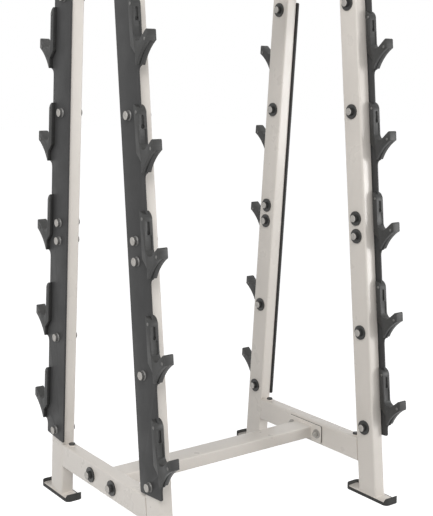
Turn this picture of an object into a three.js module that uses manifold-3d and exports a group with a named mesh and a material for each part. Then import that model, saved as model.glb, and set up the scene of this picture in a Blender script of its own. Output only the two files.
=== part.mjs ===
import * as THREE from "three";
import { mergeVertices } from "three/addons/utils/BufferGeometryUtils.js";
import Module from "manifold-3d";

// A barbell storage rack: two leaning end frames joined by two beams. Each of the four legs
// carries a steel rail with five hooks, and each hook wears a moulded saddle for a bar.
// Lengths are in millimetres and angles in degrees. +X runs from the left end frame to the
// right one, -Y is the front, and the origin is on the floor under the middle of the rack.

// Fits between pieces
const seatGap = 0.3;
const boltClearance = 1;
const plugClearance = 0.6;
const slotClearance = 0.3;
const overrun = 20;

// Frame tube, used on edge for the legs and the crossbars
const tubeDepth = 82;
const tubeWidth = 46;
const tubeWall = 3;
const tubeCorner = 6;

// Whole frame
const rackWidth = 922;
const footReach = 329;
const legLean = 5;

// Levels, measured along a leg from the floor
const levelCount = 5;
const levelPitch = 304.8;
const lowestCradle = 328;

// Rail, measured from the leg's centre line
const rail = {
  thickness: 6,
  innerEdge: 48,
  outerEdge: 63,
  bottomMargin: 109,
  topMargin: 191,
  corner: 6,
  boltEdge: 28.5,
  pairGap: 61,
  pairRise: 11,
  hookProud: 2.5,
  filletDrop: 24,
  hookCorner: 4,
};

// Bolt set that holds a rail to its leg
const railBolt = {
  diameter: 12.7,
  headDiameter: 26,
  headHeight: 14,
  headDome: 4,
  nutWasherDiameter: 50,
  nutWasherThickness: 5,
  nutDiameter: 26,
  nutHeight: 15,
  nutDome: 5,
};

// Saddle, measured from its pad face and from the lowest point of its cradle
const saddle = {
  width: 30,
  web: 4.5,
  flangeDepth: 19.5,
  cradleRadius: 22,
  cradleSlope: 36,
  tipRise: 27.4,
  tipReach: 73.5,
  tipFace: 31,
  tipCorner: 3,
  padTop: 105,
  shoulder: 26,
  foot: 65,
  heelBack: 4,
  heelFront: 8,
  heelTop: 34,
  flangeBottom: 8,
  undersideReachShare: 0.263,
  undersideRiseShare: 0.577,
};

// Crossbars
const crossbar = {
  lowerTop: 196,
  upperGap: 8,
  plugInset: 27,
};

// Plastic plug in the top wall of a lower crossbar
const plug = {
  headDiameter: 20,
  headHeight: 9,
  headEdge: 1,
  stemDiameter: 15,
  stemDepth: 6,
};

// Beam and its welded end plates
const beam = {
  depth: 82,
  height: 44,
  wall: 2.5,
  corner: 5,
  plateThickness: 6,
  plateLength: 182,
  plateHeight: 65,
  plateCorner: 6,
  ventDiameter: 22,
  boltSpacing: 138,
};

// Bolt set that holds a beam to a crossbar
const beamBolt = {
  diameter: 12.7,
  headDiameter: 26,
  headHeight: 14,
  headDome: 5,
  washerDiameter: 50,
  washerThickness: 5,
  nutWasherDiameter: 34,
  nutWasherThickness: 3,
  nutDiameter: 22,
  nutHeight: 14,
};

// Foot plate and the rubber shoe that it sits in
const shoe = {
  length: 180,
  width: 62,
  corner: 16,
  base: 4,
  wall: 4,
  sideHeight: 8,
  lipHeight: 22,
  lipLength: 14,
  lipSlope: 18,
};
const footPlate = {
  thickness: 6,
};

// Plastic cap on top of a leg
const legCap = {
  rise: 8,
  plateThickness: 4,
  insertDepth: 14,
  insertClearance: 0.4,
};

// Finishes
const finishes = {
  framePaint: { color: 0xdad4cb, roughness: 0.45, metalness: 0.15 },
  railPaint: { color: 0x4c4c4b, roughness: 0.5, metalness: 0.2 },
  saddlePlastic: { color: 0x343433, roughness: 0.6, metalness: 0 },
  shoeRubber: { color: 0x2e2e2d, roughness: 0.8, metalness: 0 },
  boltSteel: { color: 0xb4b0a9, roughness: 0.35, metalness: 0.8 },
  capPlastic: { color: 0x2b2b2b, roughness: 0.6, metalness: 0 },
};

// Facets of round shapes
const cornerSegments = 1;
const broadCornerSegments = 2;
const curveSegments = 4;
const boltSides = 8;
const beamBoltSides = 10;
const plugSides = 12;

// Sizes that follow from those above
const lean = THREE.MathUtils.degToRad(legLean);
const legX = (rackWidth - tubeWidth) / 2;
const padFace = rail.outerEdge + saddle.web;
const cradleSlope = THREE.MathUtils.degToRad(saddle.cradleSlope);
const highestCradle = lowestCradle + (levelCount - 1) * levelPitch;
const middleCradle = (lowestCradle + highestCradle) / 2;
const railBottom = lowestCradle - rail.bottomMargin;
const railTop = highestCradle + rail.topMargin;
const railHeightOnFloor = railTop * Math.cos(lean) + rail.outerEdge * Math.sin(lean);
const upperCrossbarBottom = railHeightOnFloor + crossbar.upperGap;
const upperCrossbarTop = upperCrossbarBottom + tubeDepth;
const frameTop = upperCrossbarTop + legCap.rise;
const footPlateTop = shoe.base + seatGap + footPlate.thickness;
const legLength = frameTop / Math.cos(lean) + tubeDepth;

const wasm = await Module();
wasm.setup();

function solidOf(geometry) {
  const bare = new THREE.BufferGeometry();
  bare.setAttribute("position", geometry.getAttribute("position"));
  bare.setIndex(geometry.getIndex());
  const merged = mergeVertices(bare);
  const vertProperties = merged.getAttribute("position").array;
  const triVerts = Uint32Array.from(merged.getIndex().array);
  return new wasm.Manifold(new wasm.Mesh({ numProp: 3, vertProperties, triVerts }));
}

function geometryOf(solid) {
  const mesh = solid.getMesh();
  const indexed = new THREE.BufferGeometry();
  indexed.setAttribute("position", new THREE.BufferAttribute(mesh.vertProperties, mesh.numProp));
  indexed.setIndex(new THREE.BufferAttribute(mesh.triVerts, 1));
  const geometry = indexed.toNonIndexed();
  geometry.computeVertexNormals();
  return geometry;
}

function roundedRectangle(width, height, corner) {
  const x = width / 2 - corner;
  const y = height / 2 - corner;
  const shape = new THREE.Shape();
  shape.absarc(x, y, corner, 0, Math.PI / 2);
  shape.absarc(-x, y, corner, Math.PI / 2, Math.PI);
  shape.absarc(-x, -y, corner, Math.PI, 1.5 * Math.PI);
  shape.absarc(x, -y, corner, 1.5 * Math.PI, 2 * Math.PI);
  shape.closePath();
  return shape;
}

// A prism of the outline, centred on the outline's plane, with its length along Z.
function prism(shape, length, segments) {
  const geometry = new THREE.ExtrudeGeometry(shape, {
    depth: length,
    bevelEnabled: false,
    curveSegments: segments,
  });
  return geometry.translate(0, 0, -length / 2);
}

// Turns a prism so that its outline's x and y lie along Y and Z, and its length along X.
const outlineAcrossX = new THREE.Matrix4().makeBasis(
  new THREE.Vector3(0, 1, 0),
  new THREE.Vector3(0, 0, 1),
  new THREE.Vector3(1, 0, 0),
);

function prismAcrossX(shape, length, segments) {
  return prism(shape, length, segments).applyMatrix4(outlineAcrossX);
}

function prismAcrossY(shape, length, segments) {
  return prism(shape, length, segments).rotateX(Math.PI / 2);
}

// A round bar along X from one x to another.
function barAlongX(diameter, fromX, toX, y, z, sides) {
  const bar = new THREE.CylinderGeometry(diameter / 2, diameter / 2, toX - fromX, sides);
  bar.rotateZ(Math.PI / 2);
  return bar.translate((fromX + toX) / 2, y, z);
}

// A round piece turned about X. The profile lists radius and x, from low x to high.
function turnedAlongX(profile, sides) {
  const points = profile.map(([radius, x]) => new THREE.Vector2(radius, x));
  return new THREE.LatheGeometry(points, sides).rotateZ(-Math.PI / 2);
}

// A block between two heights above the floor, seen from a leg's own leaning frame.
function levelBlock(bottom, top) {
  const block = new THREE.BoxGeometry(2 * tubeDepth, 4 * tubeDepth, top - bottom);
  block.translate(0, -Math.tan(lean) * (bottom + top) / 2, (bottom + top) / 2);
  return block.rotateX(-lean);
}

// The heights of a rail's six bolts along the leg.
function railBoltHeights() {
  const lowest = railBottom + rail.boltEdge;
  const highest = railTop - rail.boltEdge;
  const pairMiddle = middleCradle + rail.pairRise;
  const pairLow = pairMiddle - rail.pairGap / 2;
  const pairHigh = pairMiddle + rail.pairGap / 2;
  return [lowest, (lowest + pairLow) / 2, pairLow, pairHigh, (pairHigh + highest) / 2, highest];
}

function cradleHeights() {
  return Array.from({ length: levelCount }, (_, level) => lowestCradle + level * levelPitch);
}

// Leg: a hollow tube, level at both ends, drilled for the rail's bolts.
function makeLeg() {
  const outer = solidOf(prism(roundedRectangle(tubeWidth, tubeDepth, tubeCorner), 2 * legLength, cornerSegments));
  const inner = solidOf(
    prism(
      roundedRectangle(tubeWidth - 2 * tubeWall, tubeDepth - 2 * tubeWall, tubeCorner - tubeWall),
      2 * legLength + overrun,
      cornerSegments,
    ),
  );
  let leg = outer.subtract(inner).intersect(solidOf(levelBlock(footPlateTop + seatGap, frameTop)));
  for (const height of railBoltHeights()) {
    const hole = barAlongX(railBolt.diameter + boltClearance, -tubeWidth, tubeWidth, 0, height, boltSides);
    leg = leg.subtract(solidOf(hole));
  }
  return geometryOf(leg);
}

// Leg cap: a plate over the tube's level end, with an insert that plugs the tube.
function makeLegCap() {
  const plateBottom = frameTop + seatGap;
  const outer = prism(roundedRectangle(tubeWidth, tubeDepth, tubeCorner), 2 * legLength, cornerSegments);
  const plate = solidOf(outer).intersect(
    solidOf(levelBlock(plateBottom, plateBottom + legCap.plateThickness)),
  );
  const play = tubeWall + legCap.insertClearance;
  const bore = roundedRectangle(tubeWidth - 2 * play, tubeDepth - 2 * play, tubeCorner - tubeWall);
  const insert = solidOf(prism(bore, 2 * legLength, cornerSegments)).intersect(
    solidOf(levelBlock(frameTop - legCap.insertDepth, plateBottom + legCap.plateThickness / 2)),
  );
  return geometryOf(plate.add(insert));
}

// The path round a hook's working side, from its pad down through the cradle to the tip's
// lower front corner. It is drawn inwards of the saddle's surface by the inset.
function traceCradle(path, cradleHeight, inset, corner) {
  const pad = padFace - inset;
  const radius = saddle.cradleRadius + inset;
  const centreY = padFace + saddle.cradleRadius;
  const centreZ = cradleHeight + saddle.cradleRadius;
  const tipTop = cradleHeight + saddle.tipRise - inset;
  const tipFront = padFace + saddle.tipReach - inset;
  const arcEndY = centreY + radius * Math.sin(cradleSlope);
  const arcEndZ = centreZ - radius * Math.cos(cradleSlope);
  const tipBackY = arcEndY + (tipTop - arcEndZ) / Math.tan(cradleSlope);
  path.lineTo(pad, centreZ);
  path.absarc(centreY, centreZ, radius, Math.PI, 1.5 * Math.PI + cradleSlope);
  path.lineTo(tipBackY - corner * Math.cos(cradleSlope), tipTop - corner * Math.sin(cradleSlope));
  path.lineTo((tipBackY + tipFront) / 2, tipTop);
  path.lineTo(tipFront, tipTop - corner);
}

// The concave underside of a hook, from the tip's lower front corner back to the heel. The
// tip is drawn back by the web, and the rest stands proud of the saddle's own underside.
function traceUnderside(path, cradleHeight, web, proud) {
  const tipFront = padFace + saddle.tipReach;
  const tipBottom = cradleHeight + saddle.tipRise - saddle.tipFace;
  const heelFront = padFace + saddle.heelFront;
  const heelBottom = cradleHeight - saddle.foot;
  const bendY = heelFront + saddle.undersideReachShare * (tipFront - heelFront);
  const bendZ = heelBottom + saddle.undersideRiseShare * (tipBottom - heelBottom);
  path.lineTo(tipFront - web, tipBottom - proud);
  path.quadraticCurveTo(bendY + proud, bendZ - proud, heelFront + proud, heelBottom - proud);
}

// Rail: a plate with five hooks cut in its outer edge.
function railOutline() {
  const shape = new THREE.Shape();
  const { corner, innerEdge, outerEdge } = rail;
  shape.moveTo(outerEdge, railTop - corner);
  shape.absarc(outerEdge - corner, railTop - corner, corner, 0, Math.PI / 2);
  shape.absarc(-innerEdge + corner, railTop - corner, corner, Math.PI / 2, Math.PI);
  shape.absarc(-innerEdge + corner, railBottom + corner, corner, Math.PI, 1.5 * Math.PI);
  shape.absarc(outerEdge - corner, railBottom + corner, corner, 1.5 * Math.PI, 2 * Math.PI);
  for (const height of cradleHeights()) {
    const heel = height - saddle.foot;
    const hook = new THREE.Path();
    hook.moveTo(outerEdge, height + saddle.padTop);
    traceCradle(hook, height, saddle.web, rail.hookCorner);
    traceUnderside(hook, height, saddle.web, rail.hookProud);
    hook.quadraticCurveTo(outerEdge, heel - rail.hookProud, outerEdge, heel - rail.filletDrop);
    for (const point of hook.getPoints(curveSegments).reverse()) {
      shape.lineTo(point.x, point.y);
    }
  }
  shape.closePath();
  return shape;
}

// A bolt through the rail and its leg, drawn from the middle of the plate towards +X: a broad
// washer with a domed nut inside the leg, and a low domed head on the rail.
function railBoltProfile() {
  const plateFace = rail.thickness / 2;
  const legFace = -plateFace - seatGap - tubeWidth - seatGap;
  const headTop = plateFace + railBolt.headHeight;
  const nutSeat = legFace - railBolt.nutWasherThickness;
  const nutEnd = nutSeat - railBolt.nutHeight;
  const shank = railBolt.diameter / 2;
  const head = railBolt.headDiameter / 2;
  const nutWasher = railBolt.nutWasherDiameter / 2;
  const nut = railBolt.nutDiameter / 2;
  return [
    [0, nutEnd],
    [nut - railBolt.nutDome, nutEnd],
    [nut, nutEnd + railBolt.nutDome],
    [nut, nutSeat],
    [nutWasher, nutSeat],
    [nutWasher, legFace],
    [shank, legFace],
    [shank, 0],
    [head, 0],
    [head, headTop - railBolt.headDome],
    [head - railBolt.headDome, headTop],
    [0, headTop],
  ];
}

// Rail with its six bolts. The outward sign says which way along X the bolt heads face.
function makeRail(outwardSign) {
  let plate = solidOf(prismAcrossX(railOutline(), rail.thickness, cornerSegments));
  for (const height of railBoltHeights()) {
    const bolt = turnedAlongX(railBoltProfile(), boltSides);
    if (outwardSign < 0) {
      bolt.rotateZ(Math.PI);
    }
    plate = plate.add(solidOf(bolt.translate(0, 0, height)));
  }
  return geometryOf(plate);
}

// Saddle: a moulded channel that straddles a hook, drawn about the lowest point of its cradle.
function saddleOutline() {
  const shape = new THREE.Shape();
  const flangeBack = padFace - saddle.flangeDepth;
  const heelBack = padFace + saddle.heelBack;
  const shoulderEnd = Math.acos(1 - saddle.flangeDepth / saddle.shoulder);
  shape.moveTo(flangeBack, -saddle.flangeBottom);
  shape.lineTo(heelBack, -saddle.heelTop);
  shape.lineTo(heelBack, -saddle.foot);
  const front = new THREE.Path();
  front.absarc(padFace - saddle.shoulder, saddle.padTop, saddle.shoulder, shoulderEnd, 0, true);
  traceCradle(front, 0, 0, saddle.tipCorner);
  traceUnderside(front, 0, 0, 0);
  for (const point of front.getPoints(curveSegments).reverse()) {
    shape.lineTo(point.x, point.y);
  }
  shape.closePath();
  return shape;
}

// The room inside a saddle for the rail's hook, open at the top, the back and the underside.
function saddleSlotOutline() {
  const shape = new THREE.Shape();
  const inset = saddle.web - slotClearance;
  const tipFront = padFace + saddle.tipReach - inset;
  const past = saddle.padTop + saddle.shoulder + overrun;
  const back = padFace - saddle.flangeDepth - overrun;
  shape.moveTo(back, past);
  shape.lineTo(back, -saddle.foot - overrun);
  const front = new THREE.Path();
  front.moveTo(padFace - inset, past);
  traceCradle(front, 0, inset, saddle.tipCorner);
  front.lineTo(tipFront, -saddle.foot - overrun);
  for (const point of front.getPoints(curveSegments).reverse()) {
    shape.lineTo(point.x, point.y);
  }
  shape.closePath();
  return shape;
}

function makeSaddle() {
  const slotWidth = rail.thickness + 2 * slotClearance;
  const body = solidOf(prismAcrossX(saddleOutline(), saddle.width, curveSegments));
  const slot = solidOf(prismAcrossX(saddleSlotOutline(), slotWidth, curveSegments));
  return geometryOf(body.subtract(slot));
}

// The space that a leg and what lies outside it take from a crossbar.
function legBlock(rowSign) {
  const reach = 4 * tubeDepth;
  const block = new THREE.BoxGeometry(2 * tubeWidth, reach, 2 * legLength);
  block.translate(0, reach / 2 - tubeDepth / 2 - seatGap, 0);
  block.rotateX(lean);
  block.translate(0, footReach, 0);
  return rowSign > 0 ? block : block.rotateZ(Math.PI);
}

// Where a leg's inner face stands at a height above the floor, measured from the middle.
function innerFaceAt(height) {
  return footReach - height * Math.tan(lean) - tubeDepth / 2 / Math.cos(lean);
}

function plugReach() {
  return innerFaceAt(crossbar.lowerTop) - crossbar.plugInset;
}

// Crossbar: a hollow tube between a pair of legs, cut to their lean and drilled for the beam.
function makeCrossbar(top, withPlugs) {
  const middle = top - tubeDepth / 2;
  const length = 2 * footReach;
  const section = roundedRectangle(tubeWidth, tubeDepth, tubeCorner);
  const bore = roundedRectangle(tubeWidth - 2 * tubeWall, tubeDepth - 2 * tubeWall, tubeCorner - tubeWall);
  let bar = solidOf(prismAcrossY(section, length, cornerSegments));
  bar = bar.subtract(solidOf(prismAcrossY(bore, length + overrun, cornerSegments)));
  bar = bar.translate([0, 0, middle]);
  for (const rowSign of [-1, 1]) {
    bar = bar.subtract(solidOf(legBlock(rowSign)));
    const boltY = (rowSign * beam.boltSpacing) / 2;
    const boltHole = beamBolt.diameter + boltClearance;
    bar = bar.subtract(solidOf(barAlongX(boltHole, -tubeWidth, tubeWidth, boltY, middle, boltSides)));
    if (withPlugs) {
      const plugHole = (plug.stemDiameter + plugClearance) / 2;
      const hole = new THREE.CylinderGeometry(plugHole, plugHole, 4 * tubeWall, plugSides);
      hole.rotateX(Math.PI / 2);
      hole.translate(0, rowSign * plugReach(), top);
      bar = bar.subtract(solidOf(hole));
    }
  }
  return geometryOf(bar);
}

function makePlug() {
  const head = plug.headDiameter / 2;
  const stem = plug.stemDiameter / 2;
  const points = [
    new THREE.Vector2(0, -plug.stemDepth),
    new THREE.Vector2(stem, -plug.stemDepth),
    new THREE.Vector2(stem, 0),
    new THREE.Vector2(head, 0),
    new THREE.Vector2(head, plug.headHeight - plug.headEdge),
    new THREE.Vector2(head - plug.headEdge, plug.headHeight),
    new THREE.Vector2(0, plug.headHeight),
  ];
  return new THREE.LatheGeometry(points, plugSides).rotateX(Math.PI / 2);
}

// Beam: a hollow tube with a drilled plate welded across each end.
function makeBeam() {
  const plateOutside = rackWidth / 2 - tubeWidth - seatGap;
  const plateMiddle = plateOutside - beam.plateThickness / 2;
  const section = roundedRectangle(beam.depth, beam.height, beam.corner);
  const bore = roundedRectangle(
    beam.depth - 2 * beam.wall,
    beam.height - 2 * beam.wall,
    beam.corner - beam.wall,
  );
  const plate = roundedRectangle(beam.plateLength, beam.plateHeight, beam.plateCorner);
  const boltHole = beamBolt.diameter + boltClearance;
  let body = solidOf(prismAcrossX(section, 2 * plateMiddle, cornerSegments));
  for (const side of [-1, 1]) {
    const endPlate = prismAcrossX(plate, beam.plateThickness, cornerSegments);
    body = body.add(solidOf(endPlate.translate(side * plateMiddle, 0, 0)));
  }
  const hollowEnd = plateOutside - beam.plateThickness;
  body = body.subtract(solidOf(prismAcrossX(bore, 2 * hollowEnd, cornerSegments)));
  const past = plateOutside + overrun;
  body = body.subtract(solidOf(barAlongX(beam.ventDiameter, -past, past, 0, 0, boltSides)));
  for (const rowSign of [-1, 1]) {
    const boltY = (rowSign * beam.boltSpacing) / 2;
    body = body.subtract(solidOf(barAlongX(boltHole, -past, past, boltY, 0, boltSides)));
  }
  return geometryOf(body);
}

// Beam bolt: domed head and broad washer outside the crossbar, washer and nut inside the end plate.
function makeBeamBolt() {
  const radius = beamBolt.diameter / 2;
  const grip = tubeWidth + seatGap + beam.plateThickness;
  const washer = beamBolt.washerDiameter / 2;
  const head = beamBolt.headDiameter / 2;
  const nutWasher = beamBolt.nutWasherDiameter / 2;
  const nut = beamBolt.nutDiameter / 2;
  const washerFace = -seatGap - beamBolt.washerThickness;
  const headFace = washerFace - beamBolt.headHeight;
  const nutWasherFace = grip + seatGap + beamBolt.nutWasherThickness;
  const nutFace = nutWasherFace + beamBolt.nutHeight;
  const profile = [
    [0, headFace],
    [head - beamBolt.headDome, headFace],
    [head, headFace + beamBolt.headDome],
    [head, washerFace],
    [washer, washerFace],
    [washer, -seatGap],
    [radius, -seatGap],
    [radius, grip + seatGap],
    [nutWasher, grip + seatGap],
    [nutWasher, nutWasherFace],
    [nut, nutWasherFace],
    [nut, nutFace],
    [0, nutFace],
  ];
  return turnedAlongX(profile, beamBoltSides);
}

// Foot plate: the flat steel plate welded under a leg.
function makeFootPlate() {
  const play = 2 * (shoe.wall + seatGap);
  const outline = roundedRectangle(shoe.width - play, shoe.length - play, shoe.corner - shoe.wall);
  return prism(outline, footPlate.thickness, broadCornerSegments);
}

// Shoe: a rubber tray with a low rim along its sides and a raised lip round each end.
function makeShoe() {
  const outline = roundedRectangle(shoe.width, shoe.length, shoe.corner);
  const pocket = roundedRectangle(
    shoe.width - 2 * shoe.wall,
    shoe.length - 2 * shoe.wall,
    shoe.corner - shoe.wall,
  );
  const half = shoe.length / 2 - shoe.lipLength;
  const gap = new THREE.Shape();
  gap.moveTo(-half + shoe.lipSlope, shoe.sideHeight);
  gap.lineTo(half - shoe.lipSlope, shoe.sideHeight);
  gap.lineTo(half, shoe.lipHeight);
  gap.lineTo(half, shoe.lipHeight + overrun);
  gap.lineTo(-half, shoe.lipHeight + overrun);
  gap.lineTo(-half, shoe.lipHeight);
  gap.closePath();
  let body = solidOf(prism(outline, shoe.lipHeight, broadCornerSegments).translate(0, 0, shoe.lipHeight / 2));
  const tray = prism(pocket, shoe.lipHeight, broadCornerSegments);
  body = body.subtract(solidOf(tray.translate(0, 0, shoe.base + shoe.lipHeight / 2)));
  body = body.subtract(solidOf(prismAcrossX(gap, shoe.width + overrun, cornerSegments)));
  return geometryOf(body);
}

// Mesh with a finish of its own.
function piece(name, geometry, finish) {
  const mesh = new THREE.Mesh(geometry, new THREE.MeshStandardMaterial(finishes[finish]));
  mesh.name = name;
  return mesh;
}

const shapes = {
  leg: makeLeg(),
  legCap: makeLegCap(),
  railFacingPlus: makeRail(1),
  railFacingMinus: makeRail(-1),
  saddle: makeSaddle(),
  lowerCrossbar: makeCrossbar(crossbar.lowerTop, true),
  upperCrossbar: makeCrossbar(upperCrossbarTop, false),
  plug: makePlug(),
  beam: makeBeam(),
  beamBolt: makeBeamBolt(),
  footPlate: makeFootPlate(),
  shoe: makeShoe(),
};

// One leg with its cap, rail and saddles, in a frame that leans with it. The rear leg's
// outer side is +Y, and the front leg's frame is turned half round to face -Y.
function legGroup(place, sideSign, rowSign) {
  const leaning = new THREE.Group();
  leaning.rotation.x = lean;
  leaning.position.y = footReach;
  leaning.add(piece(`upright_${place}`, shapes.leg, "framePaint"));
  leaning.add(piece(`top_cap_${place}`, shapes.legCap, "capPlastic"));
  const outwardSign = sideSign * rowSign;
  const railShape = outwardSign > 0 ? shapes.railFacingPlus : shapes.railFacingMinus;
  const railPlate = piece(`rail_${place}`, railShape, "railPaint");
  railPlate.position.x = outwardSign * (tubeWidth / 2 + seatGap + rail.thickness / 2);
  leaning.add(railPlate);
  cradleHeights().forEach((height, level) => {
    const cover = piece(`saddle_${place}_${level + 1}`, shapes.saddle, "saddlePlastic");
    cover.position.set(railPlate.position.x, 0, height);
    leaning.add(cover);
  });
  const facing = new THREE.Group();
  facing.rotation.z = rowSign > 0 ? 0 : Math.PI;
  facing.position.x = sideSign * legX;
  facing.add(leaning);
  return facing;
}

function footGroup(place, sideSign, rowSign) {
  const foot = new THREE.Group();
  foot.position.set(sideSign * legX, rowSign * footReach, 0);
  const plate = piece(`foot_plate_${place}`, shapes.footPlate, "framePaint");
  plate.position.z = footPlateTop - footPlate.thickness / 2;
  foot.add(plate);
  foot.add(piece(`foot_shoe_${place}`, shapes.shoe, "shoeRubber"));
  return foot;
}

const rack = new THREE.Group();
for (const [side, sideSign] of [["left", -1], ["right", 1]]) {
  for (const [row, rowSign] of [["front", -1], ["rear", 1]]) {
    const place = `${side}_${row}`;
    rack.add(legGroup(place, sideSign, rowSign));
    rack.add(footGroup(place, sideSign, rowSign));
    const cover = piece(`crossbar_plug_${place}`, shapes.plug, "capPlastic");
    cover.position.set(sideSign * legX, rowSign * plugReach(), crossbar.lowerTop + seatGap);
    rack.add(cover);
  }
  for (const [level, top] of [["lower", crossbar.lowerTop], ["upper", upperCrossbarTop]]) {
    const bar = piece(`crossbar_${level}_${side}`, shapes[`${level}Crossbar`], "framePaint");
    bar.position.x = sideSign * legX;
    rack.add(bar);
    for (const [row, rowSign] of [["front", -1], ["rear", 1]]) {
      const bolt = piece(`beam_${level}_bolt_${side}_${row}`, shapes.beamBolt, "boltSteel");
      bolt.rotation.z = sideSign > 0 ? Math.PI : 0;
      bolt.position.set((sideSign * rackWidth) / 2, (rowSign * beam.boltSpacing) / 2, top - tubeDepth / 2);
      rack.add(bolt);
    }
  }
}
for (const [level, top] of [["lower", crossbar.lowerTop], ["upper", upperCrossbarTop]]) {
  const body = piece(`beam_${level}`, shapes.beam, "framePaint");
  body.position.z = top - tubeDepth / 2;
  rack.add(body);
}

export default rack;
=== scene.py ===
import math

import bmesh
import bpy
from mathutils import Matrix, Vector


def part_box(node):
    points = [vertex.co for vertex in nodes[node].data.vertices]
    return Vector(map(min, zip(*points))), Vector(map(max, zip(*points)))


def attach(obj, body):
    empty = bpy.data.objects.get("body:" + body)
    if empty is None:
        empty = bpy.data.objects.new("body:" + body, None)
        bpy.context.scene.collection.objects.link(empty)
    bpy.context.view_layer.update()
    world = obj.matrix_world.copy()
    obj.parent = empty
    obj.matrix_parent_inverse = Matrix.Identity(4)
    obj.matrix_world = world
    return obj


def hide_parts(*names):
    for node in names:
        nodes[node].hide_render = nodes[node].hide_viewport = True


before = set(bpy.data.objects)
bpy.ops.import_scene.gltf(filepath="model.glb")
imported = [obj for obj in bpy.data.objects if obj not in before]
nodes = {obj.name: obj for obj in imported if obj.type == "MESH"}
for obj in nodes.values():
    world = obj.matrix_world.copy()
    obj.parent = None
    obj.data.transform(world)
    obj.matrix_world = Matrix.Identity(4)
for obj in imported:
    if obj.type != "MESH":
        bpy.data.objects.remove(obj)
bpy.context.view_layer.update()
print("frame loaded:", len(nodes), "nodes")

sides = {"left": -1, "right": 1}
rows = {"front": -1, "rear": 1}
legs = [(side, row) for side in sides for row in rows]
levels = (1, 2, 3, 4, 5)
heights = ("lower", "upper")
overrun = 0.02  # how far a cutter reaches past what it cuts
touching = 0.00001  # points nearer than this are merged
aligned = 0.999  # least cosine between an edge and the axis it runs along
sharpAngle = 32  # degrees between two faces, above which their edge is hard

photo = {
    "width": 433,
    "height": 516,
    "focal": 985.7,  # in pixels, as the centre is
    "centreX": 206.2,
    "centreY": 233.4,
}
viewpoint = {
    "place": (-1.9472, -2.6873, 1.4127),
    "heading": -35.32,
    "pitch": -8.287,
    "sensor": 36,
}


def makeCamera():
    data = bpy.data.cameras.new("photoCamera")
    camera = bpy.data.objects.new("photoCamera", data)
    bpy.context.scene.collection.objects.link(camera)
    longSide = max(photo["width"], photo["height"])
    data.sensor_width = viewpoint["sensor"]
    data.lens = photo["focal"] * viewpoint["sensor"] / longSide
    data.shift_x = (photo["width"] / 2 - photo["centreX"]) / longSide
    data.shift_y = (photo["centreY"] - photo["height"] / 2) / longSide
    turn = Matrix.Rotation(math.radians(viewpoint["heading"]), 4, "Z")
    tilt = Matrix.Rotation(math.radians(90 + viewpoint["pitch"]), 4, "X")
    camera.matrix_world = Matrix.Translation(viewpoint["place"]) @ turn @ tilt
    bpy.context.scene.camera = camera


makeCamera()


# Node groups that several finishes share

pattern = {
    "tone": {"detail": 4, "low": 0.3, "high": 0.7},
    "sheen": {"detail": 3, "low": 0.3, "high": 0.7},
    "ripple": {"detail": 1},
    "grain": {"detail": 2},
    "scuff": {"detail": 5, "low": 0.56, "high": 0.72, "stretch": (0.15, 2.5, 2.5)},
    "dust": {"detail": 5, "low": 0.35, "high": 0.7},
    "upward": {"low": 0.4, "high": 1.0},
}
# numbers of a mix node's two inputs and its output, as their names are alike for every kind
mixSockets = {"FLOAT": (2, 3, 0), "RGBA": (6, 7, 2)}


def newGroup(name, inputs, output, kind="NodeSocketFloat"):
    group = bpy.data.node_groups.new(name, "ShaderNodeTree")
    for label, value in inputs.items():
        socketKind = "NodeSocketColor" if isinstance(value, tuple) else "NodeSocketFloat"
        socket = group.interface.new_socket(label, in_out="INPUT", socket_type=socketKind)
        socket.default_value = value
    group.interface.new_socket(output, in_out="OUTPUT", socket_type=kind)
    return group, group.nodes.new("NodeGroupInput"), group.nodes.new("NodeGroupOutput")


def addNoise(group, scale, detail, stretch=None):
    place = group.nodes.new("ShaderNodeTexCoord").outputs["Object"]
    if stretch:
        mapping = group.nodes.new("ShaderNodeMapping")
        mapping.inputs["Scale"].default_value = stretch
        group.links.new(place, mapping.inputs["Vector"])
        place = mapping.outputs["Vector"]
    noise = group.nodes.new("ShaderNodeTexNoise")
    noise.inputs["Detail"].default_value = detail
    group.links.new(place, noise.inputs["Vector"])
    group.links.new(scale, noise.inputs["Scale"])
    return noise.outputs["Fac"]


def addRange(group, value, limits, newLow=0.0, newHigh=1.0):
    spread = group.nodes.new("ShaderNodeMapRange")
    group.links.new(value, spread.inputs["Value"])
    given = {"From Min": limits["low"], "From Max": limits["high"], "To Min": newLow, "To Max": newHigh}
    for label, amount in given.items():
        if isinstance(amount, (int, float)):
            spread.inputs[label].default_value = amount
        else:
            group.links.new(amount, spread.inputs[label])
    return spread.outputs["Result"]


def multiply(group, first, second):
    product = group.nodes.new("ShaderNodeMath")
    product.operation = "MULTIPLY"
    group.links.new(first, product.inputs[0])
    group.links.new(second, product.inputs[1])
    return product.outputs[0]


def addMix(tree, kind, share, first, second):
    mix = tree.nodes.new("ShaderNodeMix")
    mix.data_type = kind
    below, above, result = mixSockets[kind]
    tree.links.new(share, mix.inputs[0])
    tree.links.new(first, mix.inputs[below])
    if isinstance(second, tuple):
        mix.inputs[above].default_value = second
    else:
        tree.links.new(second, mix.inputs[above])
    return mix.outputs[result]


def buildTone():
    # a colour that drifts slowly between two tones
    inputs = {"Dark": (0.4, 0.4, 0.4, 1), "Light": (0.6, 0.6, 0.6, 1), "Scale": 6.0}
    group, given, result = newGroup("tone", inputs, "Color", "NodeSocketColor")
    noise = addNoise(group, given.outputs["Scale"], pattern["tone"]["detail"])
    spread = addRange(group, noise, pattern["tone"])
    color = addMix(group, "RGBA", spread, given.outputs["Dark"], given.outputs["Light"])
    group.links.new(color, result.inputs["Color"])
    return group


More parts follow.
